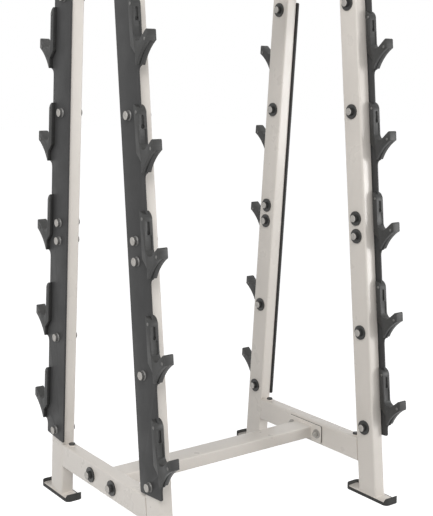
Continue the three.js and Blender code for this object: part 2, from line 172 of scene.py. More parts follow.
def buildSheen():
    # a roughness that varies in soft patches
    inputs = {"Low": 0.4, "High": 0.5, "Scale": 9.0}
    group, given, result = newGroup("sheen", inputs, "Roughness")
    noise = addNoise(group, given.outputs["Scale"], pattern["sheen"]["detail"])
    patches = addRange(group, noise, pattern["sheen"], given.outputs["Low"], given.outputs["High"])
    group.links.new(patches, result.inputs["Roughness"])
    return group


def buildTexture():
    # height of a coated or moulded surface: a coarse ripple with a fine grain on it
    inputs = {"Coarse": 250.0, "Fine": 1200.0, "Grain": 0.4}
    group, given, result = newGroup("texture", inputs, "Height")
    ripple = addNoise(group, given.outputs["Coarse"], pattern["ripple"]["detail"])
    grain = addNoise(group, given.outputs["Fine"], pattern["grain"]["detail"])
    height = addMix(group, "FLOAT", given.outputs["Grain"], ripple, grain)
    group.links.new(height, result.inputs["Height"])
    return group


def buildScuff():
    # thin marks along X, where bars roll and slide
    group, given, result = newGroup("scuff", {"Scale": 60.0, "Amount": 0.5}, "Mask")
    chosen = pattern["scuff"]
    streaks = addNoise(group, given.outputs["Scale"], chosen["detail"], chosen["stretch"])
    mask = multiply(group, addRange(group, streaks, chosen), given.outputs["Amount"])
    group.links.new(mask, result.inputs["Mask"])
    return group


def buildDust():
    # dust that settles on surfaces that face up
    group, given, result = newGroup("dust", {"Scale": 30.0, "Amount": 0.3}, "Mask")
    facing = group.nodes.new("ShaderNodeSeparateXYZ")
    group.links.new(group.nodes.new("ShaderNodeNewGeometry").outputs["Normal"], facing.inputs[0])
    upward = addRange(group, facing.outputs["Z"], pattern["upward"])
    noise = addNoise(group, given.outputs["Scale"], pattern["dust"]["detail"])
    both = multiply(group, upward, addRange(group, noise, pattern["dust"]))
    group.links.new(multiply(group, both, given.outputs["Amount"]), result.inputs["Mask"])
    return group


shared = {
    "tone": buildTone(),
    "sheen": buildSheen(),
    "texture": buildTexture(),
    "scuff": buildScuff(),
    "dust": buildDust(),
}


# Finishes

finishes = {
    # glossy powder coat with a faint orange peel
    "framePaint": {
        "slot": "frame_paint",
        "coat": 0.08,
        "tone": {"Dark": (0.735, 0.690, 0.635, 1), "Light": (0.765, 0.718, 0.662, 1), "Scale": 7.0},
        "dust": {"Scale": 40.0, "Amount": 0.12},
        "dustColor": (0.60, 0.57, 0.53, 1),
        "sheen": {"Low": 0.26, "High": 0.34, "Scale": 12.0},
        "texture": {"Coarse": 320.0, "Fine": 1500.0, "Grain": 0.3},
        "bump": {"Strength": 0.12, "Distance": 0.0004},
    },
    # dark grey textured powder coat
    "railCoat": {
        "slot": "rail_paint",
        "specular": 0.3,
        "tone": {"Dark": (0.037, 0.037, 0.037, 1), "Light": (0.044, 0.044, 0.044, 1), "Scale": 9.0},
        "dust": {"Scale": 60.0, "Amount": 0.25},
        "dustColor": (0.16, 0.155, 0.15, 1),
        "sheen": {"Low": 0.5, "High": 0.62, "Scale": 14.0},
        "texture": {"Coarse": 450.0, "Fine": 1800.0, "Grain": 0.5},
        "bump": {"Strength": 0.3, "Distance": 0.0004},
    },
    # moulded plastic with a spark-eroded grain and marks from the bars
    "saddlePlastic": {
        "slot": "saddle_plastic",
        "specular": 0.45,
        "tone": {"Dark": (0.030, 0.030, 0.029, 1), "Light": (0.037, 0.037, 0.036, 1), "Scale": 22.0},
        "scuff": {"Scale": 70.0, "Amount": 0.35},
        "scuffColor": (0.075, 0.075, 0.072, 1),
        "dust": {"Scale": 80.0, "Amount": 0.3},
        "dustColor": (0.11, 0.107, 0.10, 1),
        "sheen": {"Low": 0.42, "High": 0.55, "Scale": 30.0},
        "texture": {"Coarse": 900.0, "Fine": 2600.0, "Grain": 0.5},
        "bump": {"Strength": 0.35, "Distance": 0.0003},
    },
    # zinc plate, slightly clouded; on the black rail nuts' domed faces this bright finish is a painted
    # highlight
    "boltSteel": {
        "slot": "bolt_steel",
        "metallic": 0.65,
        "tone": {"Dark": (0.36, 0.345, 0.325, 1), "Light": (0.45, 0.432, 0.405, 1), "Scale": 130.0},
        "sheen": {"Low": 0.5, "High": 0.62, "Scale": 160.0},
        "texture": {"Coarse": 500.0, "Fine": 3000.0, "Grain": 0.6},
        "bump": {"Strength": 0.1, "Distance": 0.0002},
    },
    # dark steel of the screws; on the rail bolts' skirts and head sides, whose steel is silver, the dark
    # colour is painted shade
    "screwSteelAndShade": {
        "slot": "bolt_steel",
        "metallic": 0.5,
        "tone": {"Dark": (0.15, 0.147, 0.142, 1), "Light": (0.20, 0.196, 0.190, 1), "Scale": 200.0},
        "sheen": {"Low": 0.45, "High": 0.56, "Scale": 220.0},
        "texture": {"Coarse": 900.0, "Fine": 3200.0, "Grain": 0.6},
        "bump": {"Strength": 0.1, "Distance": 0.0002},
    },
    # black oxide on turned steel; on the sides of the silver beam bolt heads the black is painted shade
    "washerBlackAndShade": {
        "slot": "bolt_steel",
        "metallic": 0.3,
        "tone": {"Dark": (0.036, 0.036, 0.035, 1), "Light": (0.052, 0.052, 0.050, 1), "Scale": 90.0},
        "sheen": {"Low": 0.36, "High": 0.5, "Scale": 90.0},
        "texture": {"Coarse": 700.0, "Fine": 2400.0, "Grain": 0.5},
        "bump": {"Strength": 0.15, "Distance": 0.0002},
    },
    # matt rubber with floor dust
    "shoeRubber": {
        "slot": "shoe_rubber",
        "specular": 0.3,
        "tone": {"Dark": (0.040, 0.040, 0.039, 1), "Light": (0.054, 0.054, 0.052, 1), "Scale": 25.0},
        "dust": {"Scale": 70.0, "Amount": 0.35},
        "dustColor": (0.15, 0.145, 0.14, 1),
        "sheen": {"Low": 0.66, "High": 0.82, "Scale": 40.0},
        "texture": {"Coarse": 500.0, "Fine": 1700.0, "Grain": 0.6},
        "bump": {"Strength": 0.35, "Distance": 0.0004},
    },
    # plain black plastic of the caps and plugs, also of the dark sheet behind each beam plate, which is
    # painted shade along the plate's edges
    "capPlastic": {
        "slot": "cap_plastic",
        "specular": 0.45,
        "tone": {"Dark": (0.030, 0.030, 0.030, 1), "Light": (0.042, 0.042, 0.041, 1), "Scale": 35.0},
        "dust": {"Scale": 90.0, "Amount": 0.3},
        "dustColor": (0.12, 0.117, 0.11, 1),
        "sheen": {"Low": 0.42, "High": 0.56, "Scale": 50.0},
        "texture": {"Coarse": 800.0, "Fine": 2200.0, "Grain": 0.5},
        "bump": {"Strength": 0.2, "Distance": 0.0003},
    },
}


def place(tree, name, values):
    node = tree.nodes.new("ShaderNodeGroup")
    node.node_tree = shared[name]
    for label, value in values.items():
        node.inputs[label].default_value = value
    return node.outputs[0]


def makeFinish(name, given):
    material = bpy.data.materials.new(name)
    material.use_nodes = True
    tree = material.node_tree
    principled = tree.nodes["Principled BSDF"]
    principled.inputs["Metallic"].default_value = given.get("metallic", 0.0)
    principled.inputs["Specular IOR Level"].default_value = given.get("specular", 0.5)
    principled.inputs["Coat Weight"].default_value = given.get("coat", 0.0)
    color = place(tree, "tone", given["tone"])
    for mark in ("scuff", "dust"):
        if mark in given:
            mask = place(tree, mark, given[mark])
            color = addMix(tree, "RGBA", mask, color, given[mark + "Color"])
    tree.links.new(color, principled.inputs["Base Color"])
    tree.links.new(place(tree, "sheen", given["sheen"]), principled.inputs["Roughness"])
    bump = tree.nodes.new("ShaderNodeBump")
    for label, value in given["bump"].items():
        bump.inputs[label].default_value = value
    tree.links.new(place(tree, "texture", given["texture"]), bump.inputs["Height"])
    tree.links.new(bump.outputs["Normal"], principled.inputs["Normal"])
    return material


materials = {name: makeFinish(name, given) for name, given in finishes.items()}
print("finishes made:", len(materials))


# Tools for drawing and finishing pieces. Outlines are drawn in the plane of Y and Z.


def lineTo(bm, last, y, z):
    made = bmesh.ops.extrude_vert_indiv(bm, verts=[last])
    made["verts"][0].co = (0, y, z)
    return made["verts"][0]


def arcTo(bm, last, y, z, degrees, steps):
    made = bmesh.ops.spin(
        bm, geom=[last], cent=(0, y, z), axis=(1, 0, 0), angle=math.radians(degrees), steps=steps
    )
    return [g for g in made["geom_last"] if isinstance(g, bmesh.types.BMVert)][0]


def fillOutline(bm, first, last):
    bm.edges.new((last, first))
    bmesh.ops.remove_doubles(bm, verts=bm.verts[:], dist=touching)
    bmesh.ops.contextual_create(bm, geom=bm.verts[:] + bm.edges[:])


def thicken(bm, width):
    bmesh.ops.translate(bm, verts=bm.verts[:], vec=(-width / 2, 0, 0))
    made = bmesh.ops.extrude_face_region(bm, geom=bm.faces[:])
    moved = [g for g in made["geom"] if isinstance(g, bmesh.types.BMVert)]
    bmesh.ops.translate(bm, verts=moved, vec=(width, 0, 0))
    bmesh.ops.recalc_face_normals(bm, faces=bm.faces[:])


def roundEdges(bm, edges, width, segments):
    bmesh.ops.bevel(
        bm,
        geom=list(edges),
        offset=width,
        offset_type="OFFSET",
        segments=segments,
        profile=0.5,
        affect="EDGES",
        clamp_overlap=True,
        material=-1,
    )


def sharpEdges(bm, degrees=sharpAngle):
    limit = math.radians(degrees)
    return [e for e in bm.edges if len(e.link_faces) == 2 and e.calc_face_angle(0) > limit]


def edgesAlong(bm, axis):
    found = []
    for edge in bm.edges:
        way = (edge.verts[1].co - edge.verts[0].co).normalized()
        if abs(way[axis]) > aligned:
            found.append(edge)
    return found


def makeBlock(size, middle, axis, corner, segments):
    # a block whose edges along one axis are rounded
    bm = bmesh.new()
    bmesh.ops.create_cube(bm, size=1, matrix=Matrix.Translation(middle) @ Matrix.Diagonal((*size, 1)))
    roundEdges(bm, edgesAlong(bm, axis), corner, segments)
    return bm


def trim(bm, point, outward):
    # cuts off what lies past a plane and closes the cut
    geometry = bm.verts[:] + bm.edges[:] + bm.faces[:]
    cut = bmesh.ops.bisect_plane(
        bm, geom=geometry, dist=touching, plane_co=point, plane_no=outward, clear_outer=True
    )
    edges = [g for g in cut["geom_cut"] if isinstance(g, bmesh.types.BMEdge)]
    bmesh.ops.contextual_create(bm, geom=edges)


def turnedPiece(profile, steps):
    # profile lists radius and x, from the axis and back to it; the piece turns about X
    bm = bmesh.new()
    last = bm.verts.new((profile[0][1], profile[0][0], 0))
    for radius, x in profile[1:]:
        made = bmesh.ops.extrude_vert_indiv(bm, verts=[last])
        last = made["verts"][0]
        last.co = (x, radius, 0)
    bmesh.ops.spin(
        bm,
        geom=bm.verts[:] + bm.edges[:],
        cent=(0, 0, 0),
        axis=(1, 0, 0),
        angle=math.tau,
        steps=steps,
        use_merge=True,
    )
    bmesh.ops.remove_doubles(bm, verts=bm.verts[:], dist=touching)
    bmesh.ops.recalc_face_normals(bm, faces=bm.faces[:])
    return bm


def cutWith(bm, cutters):
    # takes the cutters' shapes out of a mesh with Boolean modifiers
    made = bpy.data.meshes.new("cutBlank")
    bm.to_mesh(made)
    bm.free()
    blank = bpy.data.objects.new("cutBlank", made)
    bpy.context.scene.collection.objects.link(blank)
    tools = []
    for cutter in cutters:
        shape = bpy.data.meshes.new("cutter")
        cutter.to_mesh(shape)
        cutter.free()
        tool = bpy.data.objects.new("cutter", shape)
        bpy.context.scene.collection.objects.link(tool)
        modifier = blank.modifiers.new("cut", "BOOLEAN")
        modifier.operation = "DIFFERENCE"
        modifier.solver = "EXACT"
        modifier.object = tool
        tools.append(tool)
    bpy.context.view_layer.update()
    ready = blank.evaluated_get(bpy.context.evaluated_depsgraph_get())
    result = bmesh.new()
    result.from_mesh(ready.to_mesh())
    ready.to_mesh_clear()
    for old in tools + [blank]:
        mesh = old.data
        bpy.data.objects.remove(old)
        bpy.data.meshes.remove(mesh)
    bmesh.ops.remove_doubles(result, verts=result.verts[:], dist=touching)
    bmesh.ops.dissolve_degenerate(result, edges=result.edges[:], dist=touching)
    return result


def toMesh(name, bm, smoothness=sharpAngle):
    mesh = bpy.data.meshes.new(name)
    bm.to_mesh(mesh)
    bm.free()
    mesh.shade_smooth()
    mesh.set_sharp_from_angle(angle=math.radians(smoothness))
    return mesh


def addPiece(name, mesh, finish, *replaced):
    piece = bpy.data.objects.new(name, mesh)
    bpy.context.scene.collection.objects.link(piece)
    mesh.materials.clear()
    mesh.materials.append(materials[finish])
    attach(piece, "root")
    if replaced:
        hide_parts(*replaced)
    return piece


def placed(mesh, matrix):
    copy = mesh.copy()
    copy.transform(matrix)
    return copy


def joined(mesh, matrices):
    # one mesh that holds a copy at each place
    bm = bmesh.new()
    for matrix in matrices:
        copy = placed(mesh, matrix)
        bm.from_mesh(copy)
        bpy.data.meshes.remove(copy)
    result = bpy.data.meshes.new(mesh.name + "Set")
    bm.to_mesh(result)
    bm.free()
    return result


def turnedSet(given, parts):
    # the mesh of each part, by its name, with the finish that goes with it
    made = {}
    for name, profile, finish in parts:
        turned = turnedPiece(given[profile], given["steps"])
        made[name] = (toMesh(name, turned, given["smoothness"]), finish)
    return made


def turnedTo(forward):
    # a piece is drawn towards +X, and turned half round to face -X
    return Matrix.Rotation(0 if forward else math.pi, 4, "Z")


# Legs. Each has a frame of its own that leans with it: Y points outwards and Z up the leg.

leg = {
    "lean": 5,
    "depth": 0.082,
    "corner": 0.006,
    "cornerSegments": 6,
    "blankShare": 3,  # how long a blank is before it is trimmed, in heights of its top
}


def legPlace(side, row):
    low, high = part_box(f"foot_plate_{side}_{row}")
    middle = (low + high) / 2
    facing = Matrix.Rotation(0 if row == "rear" else math.pi, 4, "Z")
    leaning = Matrix.Rotation(math.radians(leg["lean"]), 4, "X")
    return Matrix.Translation((middle.x, middle.y, 0)) @ facing @ leaning


def boxOnLeg(node, side, row):
    # lowest and highest corners of a CAD node, measured in its leg's own frame
    inverse = legPlace(side, row).inverted()
    corners = [inverse @ v.co for v in nodes[node].data.vertices]
    low = Vector([min(c[i] for c in corners) for i in range(3)])
    high = Vector([max(c[i] for c in corners) for i in range(3)])
    return low, high


def makeLegLength(side, row, bottom, top):
    # what the leg's outline fills between two heights
    low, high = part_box(f"upright_{side}_{row}")
    size = (high.x - low.x, leg["depth"], leg["blankShare"] * top)
    bm = makeBlock(size, (0, 0, 0), 2, leg["corner"], leg["cornerSegments"])
    bmesh.ops.transform(bm, matrix=legPlace(side, row), verts=bm.verts[:])
    trim(bm, (0, 0, bottom), (0, 0, -1))
    trim(bm, (0, 0, top), (0, 0, 1))
    bmesh.ops.recalc_face_normals(bm, faces=bm.faces[:])
    return bm


def makeUpright(side, row):
    node = f"upright_{side}_{row}"
    low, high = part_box(node)
    bm = makeLegLength(side, row, low.z, high.z)
    addPiece(f"legTube_{side}_{row}", toMesh("legTube", bm), "framePaint", node)


for side, row in legs:
    makeUpright(side, row)
print("leg tubes made")


# Saddles and the rails' hooks share one shape, measured from the pad face and the cradle's floor.

saddle = {
    "cradleRadius": 0.022,
    "slope": 36,
    "tipRise": 0.0274,
    "tipFace": 0.031,
    "tipCorner": 0.003,
    "padTop": 0.105,
    "shoulder": 0.026,
    "flangeDepth": 0.0195,
    "heelDepth": 0.065,
    "heelBack": 0.004,
    "heelFront": 0.008,
    "heelTop": 0.034,
    "flangeBottom": 0.008,
    "undersideSag": 0.007,
    "web": 0.0045,
    "slotPlay": 0.0003,
    "slotWidth": 0.0066,
    "edge": 0.0011,
    "edgeSegments": 2,
    "shoulderSteps": 8,
    "cradleSteps": 20,
    "undersideSteps": 10,
    "recessSegments": 3,
    "grooveWidth": 0.009,
    "grooveCornerShare": 0.35,
    "grooveDepth": 0.0038,
    "grooveLow": 0.066,
    "grooveHigh": 0.099,
    "holeWidth": 0.0118,
    "holeDepth": 0.006,
    "holeSteps": 20,
    "recessRim": 0.005,
    "recessCornerShare": 0.12,
    "recessDepth": 0.0022,
    "recessLow": 0.016,
    "recessHigh": 0.059,
}


# the reach and thickness of every saddle are those of the CAD node
saddleLow, saddleHigh = boxOnLeg("saddle_right_rear_1", "right", "rear")
saddleWidth = saddleHigh.x - saddleLow.x
flangeBack = saddleLow.y
padFace = flangeBack + saddle["flangeDepth"]
tipFront = saddleHigh.y
heelDepth = saddle["heelDepth"]


def drawCradle(bm, last, floor, inset, corner):
    radius = saddle["cradleRadius"] + inset
    slope = math.radians(saddle["slope"])
    centreY = padFace + saddle["cradleRadius"]
    centreZ = floor + saddle["cradleRadius"]
    top = floor + saddle["tipRise"] - inset
    front = tipFront - inset
    endY = centreY + radius * math.sin(slope)
    endZ = centreZ - radius * math.cos(slope)
    backY = endY + (top - endZ) / math.tan(slope)
    last = lineTo(bm, last, padFace - inset, centreZ)
    last = arcTo(bm, last, centreY, centreZ, 90 + saddle["slope"], saddle["cradleSteps"])
    last = lineTo(bm, last, backY - corner * math.cos(slope), top - corner * math.sin(slope))
    last = lineTo(bm, last, (backY + front) / 2, top)
    return lineTo(bm, last, front, top - corner)


def drawUnderside(bm, last, floor, web, proud):
    # an arc of the given sag from the tip's lower corner to the heel
    y = tipFront - web
    z = floor + saddle["tipRise"] - saddle["tipFace"] - proud
    last = lineTo(bm, last, y, z)
    heelY = padFace + saddle["heelFront"] + proud
    heelZ = floor - heelDepth - proud
    chord = Vector((heelY - y, heelZ - z))
    sag = saddle["undersideSag"]
    radius = (chord.length_squared / 4 + sag * sag) / (2 * sag)
    across = Vector((-chord.y, chord.x)).normalized()
    middle = Vector((y, z)) + chord / 2
    centre = middle + across * (radius - sag)
    sweep = 2 * math.degrees(math.asin(chord.length / 2 / radius))
    return arcTo(bm, last, centre.x, centre.y, sweep, saddle["undersideSteps"])


def makeSaddleMesh():
    bm = bmesh.new()
    shoulder = saddle["shoulder"]
    arcCentreY = padFace - shoulder
    opening = math.degrees(math.acos((flangeBack - arcCentreY) / shoulder))
    start = Vector((flangeBack, saddle["padTop"] + shoulder * math.sin(math.radians(opening))))
    first = bm.verts.new((0, start.x, start.y))
    last = arcTo(bm, first, arcCentreY, saddle["padTop"], -opening, saddle["shoulderSteps"])
    last = drawCradle(bm, last, 0, 0, saddle["tipCorner"])
    last = drawUnderside(bm, last, 0, 0, 0)
    last = lineTo(bm, last, padFace + saddle["heelBack"], -heelDepth)
    last = lineTo(bm, last, padFace + saddle["heelBack"], -saddle["heelTop"])
    last = lineTo(bm, last, flangeBack, -saddle["flangeBottom"])
    fillOutline(bm, first, last)
    thicken(bm, saddleWidth)
    groove = makePadCut("groove", saddle["grooveWidth"])
    # the broad recess lies between the hole and the cradle
    recess = makePadCut("recess", saddleWidth - 2 * saddle["recessRim"])
    bm = cutWith(bm, [makeSaddleSlot(), groove, makePadHole(), recess])
    roundEdges(bm, sharpEdges(bm), saddle["edge"], saddle["edgeSegments"])
    return toMesh("saddle", bm)


def makeSaddleSlot():
    bm = bmesh.new()
    inset = saddle["web"] - saddle["slotPlay"]
    top = saddle["padTop"] + saddle["shoulder"] + overrun
    bottom = -heelDepth - overrun
    first = bm.verts.new((0, padFace - inset, top))
    last = drawCradle(bm, first, 0, inset, saddle["tipCorner"])
    last = lineTo(bm, last, tipFront - inset, bottom)
    last = lineTo(bm, last, flangeBack - overrun, bottom)
    last = lineTo(bm, last, flangeBack - overrun, top)
    fillOutline(bm, first, last)
    thicken(bm, saddle["slotWidth"])
    return bm


def makePadCut(name, width):
    low = saddle[name + "Low"]
    high = saddle[name + "High"]
    size = (width, 2 * saddle[name + "Depth"], high - low)
    corner = width * saddle[name + "CornerShare"]
    return makeBlock(size, (0, padFace, (high + low) / 2), 1, corner, saddle["recessSegments"])


def makePadHole():
    depth = saddle["holeDepth"]
    radius = saddle["holeWidth"] / 2
    bm = bmesh.new()
    turn = Matrix.Translation((0, padFace, saddle["grooveLow"])) @ Matrix.Rotation(math.pi / 2, 4, "X")
    bmesh.ops.create_cone(
        bm,
        cap_ends=True,
        segments=saddle["holeSteps"],
        radius1=radius,
        radius2=radius,
        depth=2 * depth,
        matrix=turn,
    )
    return bm


screw = {
    "steps": 20,
    "smoothness": 32,
    "padPlace": (0.0072, 0.1078),
    "tipPlace": (-0.0595, 0.0015),
    "seat": [(0, -0.001), (0.0068, -0.001), (0.0068, 0.0004), (0.0063, 0.0007), (0, 0.0007)],
    "head": [
        (0, 0.0006),
        (0.0043, 0.0006),
        (0.0043, 0.0014),
        (0.0038, 0.0019),
        (0.0027, 0.0022),
        (0.0014, 0.0022),
        (0.0014, 0.0011),
        (0, 0.0011),
    ],
}


def screwPlaces(floor, middleX):
    found = []
    for depth, rise in (screw["padPlace"], screw["tipPlace"]):
        for turn in (0, math.pi):
            face = Matrix.Rotation(turn, 4, "Z") @ Matrix.Translation((saddleWidth / 2, 0, 0))
            found.append(Matrix.Translation((middleX, padFace - depth, floor + rise)) @ face)
    return found


def makeSaddles():
    saddleMesh = makeSaddleMesh()
    parts = turnedSet(screw, [
        ("screwSeat", "seat", "washerBlackAndShade"),
        ("screwHead", "head", "screwSteelAndShade"),
    ])
    for side, row in legs:
        stand = legPlace(side, row)
        for level in levels:
            node = f"saddle_{side}_{row}_{level}"
            low, high = boxOnLeg(node, side, row)
            middleX = (low.x + high.x) / 2
            floor = low.z + heelDepth
            spot = stand @ Matrix.Translation((middleX, 0, floor))
            name = f"{side}_{row}_{level}"
            addPiece(f"saddle_{name}_cover", placed(saddleMesh, spot), "saddlePlastic", node)
            spots = [stand @ m for m in screwPlaces(floor, middleX)]
            for part, (mesh, finish) in parts.items():
                addPiece(f"{part}s_{name}", joined(mesh, spots), finish)


makeSaddles()
print("saddles made")


# Rails and their bolts

rail = {
    "thickness": 0.006,
    "corner": 0.006,
    "hookProud": 0.0025,
    "hookCorner": 0.004,
    "filletDrop": 0.024,
    # points of the fillet under a hook, as shares of its reach and its drop
    "filletShares": [(0.45, 0.12), (0.15, 0.38), (0.03, 0.7)],
    "cornerSteps": 5,
    "edge": 0.0006,
    "edgeSegments": 2,
    "edgeAngle": 60,
    # how much lower a rail ends than the CAD's, and how much further in at that end
    "lowerReach": {"left": 0.0055, "right": 0},
    "innerReach": {"left": 0.0075, "right": 0},
}
railOuter = padFace - saddle["web"]


def cradleFloors(side, row):
    return [boxOnLeg(f"saddle_{side}_{row}_{level}", side, row)[0].z + heelDepth for level in levels]


def railBox(side, row):
    # the CAD rail's box, with its lower end where the photograph shows it
    low, high = boxOnLeg(f"rail_{side}_{row}", side, row)
    low.z -= rail["lowerReach"][side]
    return low, high


def makeRailPlate(side, row):
    node = f"rail_{side}_{row}"
    low, high = railBox(side, row)
    saddleBox = boxOnLeg(f"saddle_{side}_{row}_1", side, row)
    middleX = (saddleBox[0].x + saddleBox[1].x) / 2
    corner = rail["corner"]
    steps = rail["cornerSteps"]
    proud = rail["hookProud"]
    bm = bmesh.new()
    first = bm.verts.new((0, railOuter - corner, high.z))
    last = arcTo(bm, first, railOuter - corner, high.z - corner, -90, steps)
    for floor in reversed(cradleFloors(side, row)):
        last = lineTo(bm, last, railOuter, floor + saddle["padTop"])
        last = drawCradle(bm, last, floor, saddle["web"], rail["hookCorner"])
        last = drawUnderside(bm, last, floor, saddle["web"], proud)
        heel = floor - heelDepth - proud
        reach = padFace + saddle["heelFront"] + proud - railOuter
        drop = rail["filletDrop"] - proud
        for out, down in rail["filletShares"]:
            last = lineTo(bm, last, railOuter + reach * out, heel - drop * down)
        last = lineTo(bm, last, railOuter, heel - drop)
    last = lineTo(bm, last, railOuter, low.z + corner)
    last = arcTo(bm, last, railOuter - corner, low.z + corner, -90, steps)
    inner = low.y - rail["innerReach"][side]
    last = lineTo(bm, last, inner + corner, low.z)
    last = arcTo(bm, last, inner + corner, low.z + corner, -90, steps)
    last = lineTo(bm, last, low.y, high.z - corner)
    last = arcTo(bm, last, low.y + corner, high.z - corner, -90, steps)
    fillOutline(bm, first, last)
    thicken(bm, rail["thickness"])
    roundEdges(bm, sharpEdges(bm, rail["edgeAngle"]), rail["edge"], rail["edgeSegments"])
    bmesh.ops.translate(bm, verts=bm.verts[:], vec=(middleX, 0, 0))
    bmesh.ops.transform(bm, matrix=legPlace(side, row), verts=bm.verts[:])
    addPiece(f"railPlate_{side}_{row}", toMesh("railPlate", bm), "railCoat", node)


for side, row in legs:
    makeRailPlate(side, row)
print("rail plates made")


# Rail bolts: outside, a silver head on a skirt, with the skirt and the head's sides darkened as painted
# shade; inside, a black nut on a broad washer, its domed face in bright zinc as a painted highlight

broadWasher = [
    (0, -0.0002),
    (0.0246, -0.0002),
    (0.0250, 0.0004),
    (0.0250, 0.0043),
    (0.0243, 0.0050),
    (0, 0.0050),
]
railBolt = {
    "edge": 0.0285,
    "pairRise": 0.011,
    "pairGap": 0.061,
    "seat": 0.0003,
    "steps": 32,
    "smoothness": 24,
    "skirt": [
        (0, -0.001),
        (0.0151, -0.001),
        (0.0151, 0.0014),
        (0.0146, 0.0022),
        (0.0131, 0.0044),
        (0, 0.0044),
    ],
    "head": [(0, 0.0042), (0.0130, 0.0042), (0.0130, 0.0122), (0.0128, 0.0126), (0, 0.0126)],
    "headFace": [(0, 0.0124), (0.0127, 0.0124), (0.0124, 0.0133), (0.0115, 0.0138), (0, 0.0140)],
    "washer": broadWasher,
    "nut": [(0, 0.0048), (0.0128, 0.0048), (0.0128, 0.0146), (0.0125, 0.0154), (0, 0.0154)],
    "highlitNutFace": [(0, 0.0152), (0.0124, 0.0152), (0.0120, 0.0164), (0.0108, 0.0172), (0, 0.0176)],
}


def railBoltHeights(side, row):
    bottom, top = railBox(side, row)
    lowest = bottom.z + railBolt["edge"]
    highest = top.z - railBolt["edge"]
    middle = cradleFloors(side, row)[len(levels) // 2] + railBolt["pairRise"]
    low = middle - railBolt["pairGap"] / 2
    high = middle + railBolt["pairGap"] / 2
    return [lowest, (lowest + low) / 2, low, high, (high + highest) / 2, highest]


def makeRailBolts():
    outerParts = turnedSet(railBolt, [
        # skirt and head sides in a darker finish than the face: painted shade on a silver head
        ("railBoltSkirt", "skirt", "screwSteelAndShade"),
        ("railBoltHead", "head", "screwSteelAndShade"),
        ("railBoltFace", "headFace", "boltSteel"),
    ])
    innerParts = turnedSet(railBolt, [
        ("railBoltWasher", "washer", "washerBlackAndShade"),
        ("railBoltNut", "nut", "washerBlackAndShade"),
        # bright zinc on the black nut's domed face: painted highlight
        ("railNutFace", "highlitNutFace", "boltSteel"),
    ])
    for side, row in legs:
        outward = sides[side] * rows[row] > 0
        stand = legPlace(side, row)
        node = f"rail_{side}_{row}"
        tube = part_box(f"upright_{side}_{row}")
        legFace = (tube[1].x - tube[0].x) / 2 + railBolt["seat"]
        outer = []
        inner = []
        for height in railBoltHeights(side, row):
            up = stand @ Matrix.Translation((0, 0, height))
            outer.append(up @ turnedTo(outward) @ Matrix.Translation((legFace + rail["thickness"], 0, 0)))
            inner.append(up @ turnedTo(not outward) @ Matrix.Translation((legFace, 0, 0)))
        for parts, spots in ((outerParts, outer), (innerParts, inner)):
            for name, (mesh, finish) in parts.items():
                addPiece(f"{name}s_{side}_{row}", joined(mesh, spots), finish, node)


makeRailBolts()
print("rail bolts made")


# Weld beads: a rippled cord laid round a joint

weld = {
    "pitch": 0.0011,
    "ripple": 0.16,
    "rippleEvery": 5,
    "cornerStep": 15,
    "bevelResolution": 2,
    "smoothness": 60,
    "crossbar": {"bead": 0.0022, "inset": 0.0066, "rise": -0.0012, "corner": 0.004, "gap": 0.0012},
    "beam": {"bead": 0.003, "inset": -0.0006, "rise": 0.0006, "corner": 0.0056},
    "foot": {"bead": 0.0026, "inset": -0.0004, "rise": 0.0004, "corner": 0.0064},
}


def roundLoop(halfWidth, halfHeight, corner):
    # evenly spaced points round a rounded rectangle
    corners = [(1, 1, 0), (-1, 1, 90), (-1, -1, 180), (1, -1, 270)]
    path = []
    for signX, signY, start in corners:
        for step in range(0, 90 + weld["cornerStep"], weld["cornerStep"]):
            angle = math.radians(start + step)
            x = signX * (halfWidth - corner) + corner * math.cos(angle)
            y = signY * (halfHeight - corner) + corner * math.sin(angle)
            path.append(Vector((x, y)))
    points = []
    for here, there in zip(path, path[1:] + path[:1]):
        count = max(1, round((there - here).length / weld["pitch"]))
        points += [here.lerp(there, i / count) for i in range(count)]
    return points


def makeBead(name, points, bead):
    curve = bpy.data.curves.new(name, "CURVE")
    curve.dimensions = "3D"
    curve.bevel_depth = bead
    curve.bevel_resolution = weld["bevelResolution"]
    spline = curve.splines.new("POLY")
    spline.points.add(len(points) - 1)
    for i, point in enumerate(points):
        spline.points[i].co = (*point, 1)
        phase = (i % weld["rippleEvery"]) / weld["rippleEvery"]
        spline.points[i].radius = 1 + weld["ripple"] * (0.5 - phase)
    spline.use_cyclic_u = True
    cord = bpy.data.objects.new(name, curve)
    bpy.context.scene.collection.objects.link(cord)
    bpy.context.view_layer.update()
    ready = cord.evaluated_get(bpy.context.evaluated_depsgraph_get())
    bm = bmesh.new()
    bm.from_mesh(ready.to_mesh())
    ready.to_mesh_clear()
    bpy.data.objects.remove(cord)
    bpy.data.curves.remove(curve)
    bmesh.ops.recalc_face_normals(bm, faces=bm.faces[:])
    return toMesh(name, bm, weld["smoothness"])


# Crossbars

crossbar = {
    "corner": 0.006,
    "cornerSegments": 6,
    "seat": 0.0003,
    "blankShare": 1.2,  # how long the blank is before it is trimmed, in lengths of the crossbar
}


def makeCrossbar(side, height):
    node = f"crossbar_{height}_{side}"
    low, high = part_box(node)
    size = (high.x - low.x, crossbar["blankShare"] * (high.y - low.y), high.z - low.z)
    bm = makeBlock(size, (low + high) / 2, 1, crossbar["corner"], crossbar["cornerSegments"])
    for row in rows:
        stand = legPlace(side, row)
        face = stand @ Vector((0, -leg["depth"] / 2 - crossbar["seat"], 0))
        trim(bm, face, stand.to_3x3() @ Vector((0, 1, 0)))
        makeCrossbarWeld(side, row, height, low, high)
    bmesh.ops.recalc_face_normals(bm, faces=bm.faces[:])
    addPiece(f"crossbarTube_{height}_{side}", toMesh("crossbarTube", bm), "framePaint", node)


